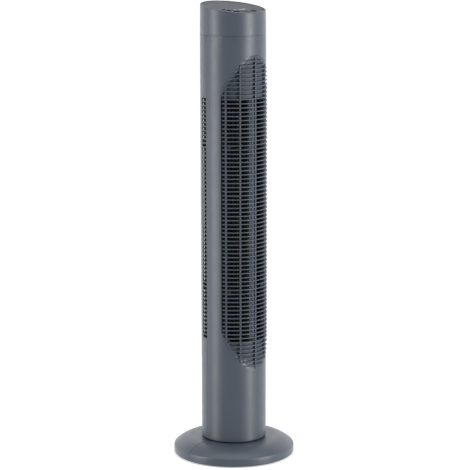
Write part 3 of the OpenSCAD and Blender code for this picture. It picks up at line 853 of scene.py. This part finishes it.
def build_top_cover():
    """The panel inside the rim, with its window for the display and one for each key."""
    outer_r = HEAD_TOP_R - HEAD_WALL - 0.3
    grow = KEY_GAP / KEY_R[0] * 180 / math.pi
    windows = [
        (a0 - grow, a1 + grow, KEY_R[0] - KEY_GAP, KEY_R[1] + KEY_GAP) for _, a0, a1 in KEYS
    ]
    windows.append((DISPLAY_ANGLES[0] - 0.3, DISPLAY_ANGLES[1] + 0.3,
                    DISPLAY_R[0] - 0.2, DISPLAY_R[1] + 0.2))
    edge = 0.3
    edge_angle = edge / 42 * 180 / math.pi
    cuts = set(i * 2.5 for i in range(-72, 72))
    for a0, a1, _, _ in windows:
        cuts = {c for c in cuts if not (abs(c - a0) < 1 or abs(c - a1) < 1)}
        cuts |= {a0 - edge_angle, a0, a1, a1 + edge_angle}
    angles = sorted(cuts)
    radii = {0.5, 6, 12, 18, 24, 32, 40, 49.5, 52, 54}
    for _, _, r0, r1 in windows:
        radii |= {r0 - edge, r0, r1, r1 + edge}
    radii = sorted(radii) + [outer_r - 0.35, outer_r - 0.1, outer_r]

    def inside(a, r):
        return any(a0 < a < a1 and r0 < r < r1 for a0, a1, r0, r1 in windows)

    def on_rim(a, r):
        near = 1e-6
        return any(
            a0 - near <= a <= a1 + near and r0 - near <= r <= r1 + near
            for a0, a1, r0, r1 in windows
        )

    mesh = Mesh()

    def skin(height, crisp):
        grid = []
        for a in angles:
            points = []
            for r in radii:
                # the cover is a cut through an upright cylinder, so it is oval in its own plane
                k = 1 / math.hypot(sin(a), cos(a) * cos(TILT)) if r > 54 else 1
                z = height
                if not crisp:
                    z -= 0.22 if on_rim(a, r) else 0
                    z -= edge_drop(outer_r - r, 0.35)
                x, y, _ = polar(a, r * k, 0)
                points.append(tilted((x, y, z)))
            grid.append(mesh.row(points))
        grid.append(grid[0])
        return grid

    top = skin(-PANEL_DROP, False)
    bottom = skin(-PANEL_DROP - PANEL_T, True)
    n = len(angles)

    def open_cell(j, i):
        a = (angles[i] + (angles[i + 1] if i + 1 < n else angles[0] + 360)) / 2
        return inside(a, (radii[j] + radii[j + 1]) / 2)

    grid_faces(mesh, top, open_cell)
    grid_faces(mesh, bottom, open_cell)
    mesh.cap([row[0] for row in top[:-1]])
    mesh.cap([row[0] for row in bottom[:-1]])
    mesh.strip([row[-1] for row in top], [row[-1] for row in bottom])
    for a0, a1, r0, r1 in windows:
        i0, i1 = angles.index(a0), angles.index(a1)
        j0, j1 = radii.index(r0), radii.index(r1)
        mesh.strip(
            mesh.loop_between(top, j0, j1, i0, i1),
            mesh.loop_between(bottom, j0, j1, i0, i1),
            closed=True,
        )
    for x, y in BOARD_POSTS:
        tilted_tube(mesh, x, y, -12, -PANEL_DROP - PANEL_T + 0.5, 2.8, 1.25)
    return mesh.make("top_cover_panel", slate_top, "tower", ["top_cover"])


def tilted_tube(mesh, x, y, z0, z1, r_out, r_in, sides=32):
    loops = []
    for r, z in ((r_out, z0), (r_out, z1), (r_in, z1), (r_in, z0)):
        turn = [2 * math.pi * s / sides for s in range(sides)]
        loops.append(mesh.row([tilted((x + r * math.cos(t), y + r * math.sin(t), z)) for t in turn]))
    mesh.rows(loops + loops[:1], closed=True)


def sector_pad(mesh, a0, a1, r0, r1, z0, z1, edge, dish=0.0, cells=(12, 8)):
    """A pad with the outline of a ring sector, with a rounded edge on top and a dished middle."""
    r_mid = (r0 + r1) / 2
    turn = 180 / math.pi / r_mid
    inset = [edge * (1 - cos(b)) for b in (0, 30, 60, 90)]
    us = [a0 + d * turn for d in inset] + steps(a0 + edge * turn, a1 - edge * turn, cells[0])[1:-1]
    us += [a1 - d * turn for d in inset[::-1]]
    vs = [r0 + d for d in inset] + steps(r0 + edge, r1 - edge, cells[1])[1:-1]
    vs += [r1 - d for d in inset[::-1]]
    top = []
    for r in vs:
        points = []
        for a in us:
            near = min((a - a0) / turn, (a1 - a) / turn, r - r0, r1 - r)
            s = clamp((a - a0) / (a1 - a0))
            t = clamp((r - r0) / (r1 - r0))
            hollow = dish * 16 * s * (1 - s) * t * (1 - t)
            x, y, _ = polar(a, r, 0)
            points.append(tilted((x, y, z1 - edge_drop(near, edge) - hollow)))
        top.append(mesh.row(points))
    grid_faces(mesh, top)
    border = mesh.loop_between(top, 0, len(us) - 1, 0, len(vs) - 1)
    walls = []
    for a, r in [(a, vs[0]) for a in us[:-1]] + [(us[-1], r) for r in vs[:-1]] + [
        (a, vs[-1]) for a in us[:0:-1]
    ] + [(us[0], r) for r in vs[:0:-1]]:
        x, y, _ = polar(a, r, 0)
        walls.append(tilted((x, y, z0)))
    low = mesh.row(walls)
    mesh.strip(border, low, closed=True)
    mesh.cap(low)


def build_keys():
    for name, a0, a1 in KEYS:
        mesh = Mesh()
        top = KEY_PROUD - PANEL_DROP
        sector_pad(mesh, a0, a1, *KEY_R, -6, top, 0.55, dish=0.28)
        sector_pad(mesh, a0 - 0.9, a1 + 0.9, KEY_R[0] - 1.2, KEY_R[1] + 1.2, -6, -4.8, 0.2)
        x, y, _ = polar((a0 + a1) / 2, sum(KEY_R) / 2, 0)
        tilted_tube(mesh, x, y, -8, -5.5, 1.5, 0.3)
        key = f"key_{name}"
        mesh.make(f"{key}_cap", key_black, f"{key}_cap", [key])


def build_display():
    mesh = Mesh()
    floor, top = -PANEL_DROP - PANEL_T, -PANEL_DROP + 0.3
    sector_pad(mesh, *DISPLAY_ANGLES, *DISPLAY_R, floor, top, 0.35, cells=(40, 8))
    mesh.make("display_window_gloss", window_black, "tower", ["display_window"])


MARK_W = 2.6


def flat_mark(name, pads):
    """Generic white marks: thin printed pads on the panel."""
    mesh = Mesh()
    for a0, a1, r0, r1, z in pads:
        cells = (max(6, int((a1 - a0) / 2)), 2)
        sector_pad(mesh, a0, a1, r0, r1, z - 0.1, z + 0.06, 0.03, cells=cells)
    mesh.make(name, white_mark, "tower")


def build_marks():
    """A tick inside each key, and an arc inside the display and the last key."""
    z = -PANEL_DROP
    #          first angle, last angle, inner radius
    ticks = [(-67, -63.5, 30), (-55, -47.5, 31.6), (-40, -29, 27.2)]
    pads = [(a0, a1, r, r + MARK_W, z) for a0, a1, r in ticks]
    pads.append((-17, 25, 21.8, 21.8 + MARK_W, z))
    pads.append((13.4, 14.6, 30, 42, z))
    flat_mark("panel_marks", pads)


# ---------- base ----------

BASE_R = 110.0
BASE_TOP = 30.0
BASE_WALL = 2.6
DOME_R0 = 74.0
WELL_R = 54.4
SEAM = 0.15
SEAM_ROUND = 1.1
SEAM_ROUND_Z = 8        # the seam's edge is rounded above this height
DOME_EDGE = (BASE_R - 3, 17.5)
FOOT_PCR = 97
FOOT_ANGLES = (30, 90, 150)
FOOT_H = 3.2


def dome(inset, n):
    """The arc from the flat top to the rim, as (r, z) points moved inward by an inset."""
    run = DOME_EDGE[0] - DOME_R0
    fall = BASE_TOP - DOME_EDGE[1]
    radius = (run * run + fall * fall) / (2 * fall)
    sweep = asin(run / radius)
    return [
        (DOME_R0 + (radius - inset) * sin(t), BASE_TOP - radius + (radius - inset) * cos(t))
        for t in steps(0, sweep, n)
    ]


def base_profile():
    well = WELL_R + BASE_WALL
    outer = [(WELL_R, BASE_TOP - 0.6), (WELL_R + 0.2, BASE_TOP - 0.15), (WELL_R + 0.6, BASE_TOP)]
    outer += [(well + 2, BASE_TOP), (63, BASE_TOP), (68, BASE_TOP)]
    outer += dome(0, 20)
    outer += [(108.1, 16.9), (108.9, 16.15), (109.5, 15.2), (109.85, 14.2), (BASE_R, 13.1)]
    outer += [(BASE_R, 11), (BASE_R, 8), (BASE_R - 0.05, 5), (BASE_R - 0.1, 3)]
    outer += [(BASE_R - 0.25, 2.3), (BASE_R - 0.6, 2)]
    inner = [(BASE_R - BASE_WALL, 2), (BASE_R - BASE_WALL, 13)]
    inner += dome(BASE_WALL, 12)[::-1]
    inner += [(well, BASE_TOP - BASE_WALL), (well, 4), (WELL_R, 4), (WELL_R, 16.4), (42, 16.4), (42, 19)]
    inner += [(WELL_R, 19)]
    return outer + inner


def build_base(front):
    mesh = Mesh()
    near_seam = [0, 0.1, 0.22, 0.4, 0.7]
    arc = near_seam + steps(1.3, 178.7, 118) + [180 - a for a in near_seam[::-1]]
    angles = [a + (-90 if front else 90) for a in arc]
    revolve(mesh, base_profile(), angles, closed=False)
    side = -1 if front else 1
    for a in range(15, 180, 30):
        base_rib(mesh, side * a)
    for a in FOOT_ANGLES:
        foot_boss(mesh, FOOT_PCR * cos(side * a), FOOT_PCR * sin(side * a))
    mesh.points = [seam_edge(side, *p) for p in mesh.points]
    half = "front" if front else "rear"
    node = f"base_{half}_half"
    return mesh.make(f"base_{half}_skin", slate, "base", [node])


def seam_edge(side, x, y, z):
    """Keeps a point on its half's side of the seam and rounds the half's edge there."""
    y = side * max(SEAM, side * y)
    r = math.hypot(x, y)
    near = edge_drop(abs(y) - SEAM, SEAM_ROUND)
    if near and z > SEAM_ROUND_Z and r > WELL_R + 1:
        return x * (1 - near / r), y, z - near
    return x, y, z


def base_rib(mesh, a):
    """A thin plate under the base's top, from the well to the rim."""
    outline = [(WELL_R + 1, 8), (WELL_R + 1, BASE_TOP - 1)] + dome(1, 10)
    outline += [(BASE_R - 2, 13), (BASE_R - 2, 8)]
    faces = []
    for offset in (-1, 1):
        points = []
        for r, z in outline:
            points.append((r * cos(a) - offset * sin(a), r * sin(a) + offset * cos(a), z))
        faces.append(mesh.row(points))
    mesh.cap(faces[0])
    mesh.cap(faces[1])
    mesh.strip(*faces, closed=True)


def foot_boss(mesh, x, y):
    loops = []
    for r, z in ((0.8, FOOT_H), (6, FOOT_H), (6, 19.3), (0.8, 19.3)):
        turn = [2 * math.pi * s / 32 for s in range(32)]
        loops.append(mesh.row([(x + r * math.cos(t), y + r * math.sin(t), z) for t in turn]))
    mesh.rows(loops + loops[:1], closed=True)


def build_feet():
    """Rubber feet with a rounded tread."""
    mesh = Mesh()
    section = [(0.6, FOOT_H), (6.9, FOOT_H), (7.0, 3.0), (7.0, 0.9), (6.7, 0.3), (6.1, 0.0), (4.6, 0.0),
               (4.4, 0.25), (3.9, 0.25), (3.7, 0.0), (0.6, 0.0)]
    for a in range(30, 360, 60):
        x, y = FOOT_PCR * cos(a), FOOT_PCR * sin(a)
        loops = []
        for r, z in section:
            turn = [2 * math.pi * s / 40 for s in range(40)]
            loops.append(mesh.row([(x + r * math.cos(t), y + r * math.sin(t), z) for t in turn]))
        mesh.rows(loops + loops[:1], closed=True)
    mesh.make("base_feet_treads", foot_rubber, "base", ["base_feet"])


build_front_shell()
build_rear_shell()
build_grille()
build_head_shell()
build_top_cover()
build_keys()
build_display()
build_marks()
build_base(True)
build_base(False)
build_feet()

# ---------- finishes of the CAD pieces that stay ----------

FINISHES = (
    # the baffles take the lighter slate copy, with painted light
    (baffle_slate_painted_light, ("upper_baffle", "lower_baffle")),
    # the centre stay takes the far lighter slate copy, with painted light
    (stay_slate_painted_light, ("centre_stay",)),
    (black_plastic, ("swivel_seat", "column_floor", "cord_gland", "scroll_wall", "vortex_tongue",
                     "blower_bottom_plate", "blower_top_plate", "upper_bush_holder",
                     "run_capacitor", "display_module", "key_switches")),
    (blade_plastic, ("impeller",)),
    (sleeve, ("wire_harness",)),
    (foot_rubber, ("motor_grommets",)),
    (natural_nylon, ("slide_ring", "hub_nut", "crank_arm", "terminal_block")),
    (plated_steel, ("seat_screws", "hub_washer", "housing_screws", "motor_screws", "motor_shaft",
                    "impeller_screw", "top_pin", "swing_motor_screws", "board_screws",
                    "motor_stator", "motor_rotor", "swing_motor", "crank_roller")),
    (cast_zinc, ("motor_lower_cap", "motor_upper_cap")),
    (oil_bronze, ("upper_bush", "motor_bushes")),
    (enamel_copper, ("motor_windings",)),
    (solder_mask, ("control_board",)),
)
for material, names in FINISHES:
    for name in names:
        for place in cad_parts[name].material_slots:
            place.material = material

# ---------- stage, light and camera ----------

FLOOR_GLOW = 0.36       # brightest emission of the floor, at its far side
BACKDROP = 138          # direction of the bright backdrop, seen from the fan


def build_floor():
    mesh = bpy.data.meshes.new("floor")
    rings = (0, 0.35, 1.2, 4, 14, 60)
    bm = bmesh.new()
    rows = []
    for r in rings[1:]:
        turn = [2 * math.pi * s / 64 for s in range(64)]
        rows.append([bm.verts.new((r * math.cos(t), r * math.sin(t), 0)) for t in turn])
    bm.faces.new(rows[0])
    for a, b in zip(rows, rows[1:]):
        for i in range(64):
            bm.faces.new((a[i], a[i - 1], b[i - 1], b[i]))
    bmesh.ops.recalc_face_normals(bm, faces=bm.faces)
    bm.to_mesh(mesh)
    bm.free()
    m = Nodes("pale_floor")
    m.shader.inputs["Emission Color"].default_value = (1, 1, 1, 1)
    glow = m.tree.nodes.new("ShaderNodeVectorMath")
    glow.operation = "DOT_PRODUCT"
    glow.inputs[1].default_value = (sin(BACKDROP), -cos(BACKDROP), 0)
    m.link(m.coord.outputs["Object"], glow.inputs[0])
    strength = m.remap(glow.outputs["Value"], 0, FLOOR_GLOW, -0.42, -0.13)
    m.link(strength, m.shader.inputs["Emission Strength"])
    tone = m.mix(m.remap(m.noise(1.5, 3), 0, 1), (0.90, 0.90, 0.905), (0.93, 0.93, 0.93))
    m.colour(tone)
    m.shader.inputs["Roughness"].default_value = 0.9
    m.shader.inputs["Specular IOR Level"].default_value = 0.1
    mesh.materials.append(m.mat)
    floor = bpy.data.objects.new("floor", mesh)
    bpy.context.scene.collection.objects.link(floor)
    # the soft boxes shine through the floor, so their highlights run down to the base
    floor.visible_glossy = False
    floor.visible_shadow = False


def soft_box(name, angle, distance, height, size, power, aim=(0, 0, 0.42)):
    """A tall soft box at an angle round the column."""
    data = bpy.data.lights.new(name, "AREA")
    data.shape = "RECTANGLE"
    data.size, data.size_y = size
    data.energy = power
    light = bpy.data.objects.new(name, data)
    place = Vector((distance * sin(angle), -distance * cos(angle), height))
    light.location = place
    light.rotation_euler = (Vector(aim) - place).to_track_quat("-Z", "Y").to_euler()
    bpy.context.scene.collection.objects.link(light)


def sky(front, back, zenith):
    """A pale backdrop behind the fan, a dimmer room in front of it and a dim ceiling."""
    world = bpy.data.worlds.new("studio")
    bpy.context.scene.world = world
    world.use_nodes = True
    tree = world.node_tree
    background = tree.nodes["Background"]
    background.inputs["Color"].default_value = (0.97, 0.985, 1.0, 1)
    coord = tree.nodes.new("ShaderNodeTexCoord")
    facing = tree.nodes.new("ShaderNodeVectorMath")
    facing.operation = "DOT_PRODUCT"
    facing.inputs[1].default_value = (sin(BACKDROP), -cos(BACKDROP), 0)
    tree.links.new(coord.outputs["Generated"], facing.inputs[0])
    around = tree.nodes.new("ShaderNodeMapRange")
    for socket, value in (("From Min", -0.1), ("From Max", 0.75), ("To Min", front), ("To Max", back)):
        around.inputs[socket].default_value = value
    tree.links.new(facing.outputs["Value"], around.inputs["Value"])
    split = tree.nodes.new("ShaderNodeSeparateXYZ")
    tree.links.new(coord.outputs["Generated"], split.inputs["Vector"])
    rise = tree.nodes.new("ShaderNodeMapRange")
    for socket, value in (("From Min", 0.35), ("From Max", 0.85), ("To Min", 1.0), ("To Max", zenith)):
        rise.inputs[socket].default_value = value
    tree.links.new(split.outputs["Z"], rise.inputs["Value"])
    product = tree.nodes.new("ShaderNodeMath")
    product.operation = "MULTIPLY"
    tree.links.new(around.outputs["Result"], product.inputs[0])
    tree.links.new(rise.outputs["Result"], product.inputs[1])
    tree.links.new(product.outputs["Value"], background.inputs["Strength"])


def top_light(strength, spread):
    data = bpy.data.lights.new("overhead", "SUN")
    data.energy = strength
    data.angle = math.radians(spread)
    light = bpy.data.objects.new("overhead", data)
    light.rotation_euler = (math.radians(8), math.radians(-6), 0)
    bpy.context.scene.collection.objects.link(light)


LENS = 139.735
CAMERA_PLACE = (-2.1703, -2.4103, 1.00332)
CAMERA_AZIMUTH = 42.0   # degrees
CAMERA_YAW = 0.000874   # the other turns are radians
CAMERA_DOWN = 0.182723
CAMERA_ROLL = -0.002159


def place_camera():
    data = bpy.data.cameras.new("camera")
    data.lens = LENS
    data.sensor_width = 36
    data.clip_end = 200
    camera = bpy.data.objects.new("camera", data)
    azimuth, yaw, down, roll = CAMERA_AZIMUTH, CAMERA_YAW, CAMERA_DOWN, CAMERA_ROLL
    ahead = Vector((sin(azimuth), cos(azimuth), 0))
    across = Vector((cos(azimuth), -sin(azimuth), 0))
    look = across * math.sin(yaw) * math.cos(down) + ahead * math.cos(yaw) * math.cos(down)
    look += Vector((0, 0, -math.sin(down)))
    right = look.cross(Vector((0, 0, 1))).normalized()
    up = right.cross(look)
    right, up = (
        right * math.cos(roll) + up * math.sin(roll),
        up * math.cos(roll) - right * math.sin(roll),
    )
    turn = Matrix((right, up, -look)).transposed().to_4x4()
    camera.matrix_world = Matrix.Translation(CAMERA_PLACE) @ turn
    bpy.context.scene.collection.objects.link(camera)
    bpy.context.scene.camera = camera


build_floor()
sky(0.22, 1.5, 0.4)
top_light(1.0, 60)
soft_box("left_box", -110, 1.5, 0.6, (0.5, 2.2), 18)
soft_box("right_box", 17, 1.7, 0.6, (0.55, 2.2), 27)
place_camera()
bpy.context.scene.view_settings.view_transform = "Standard"
bpy.context.scene.view_settings.look = "None"
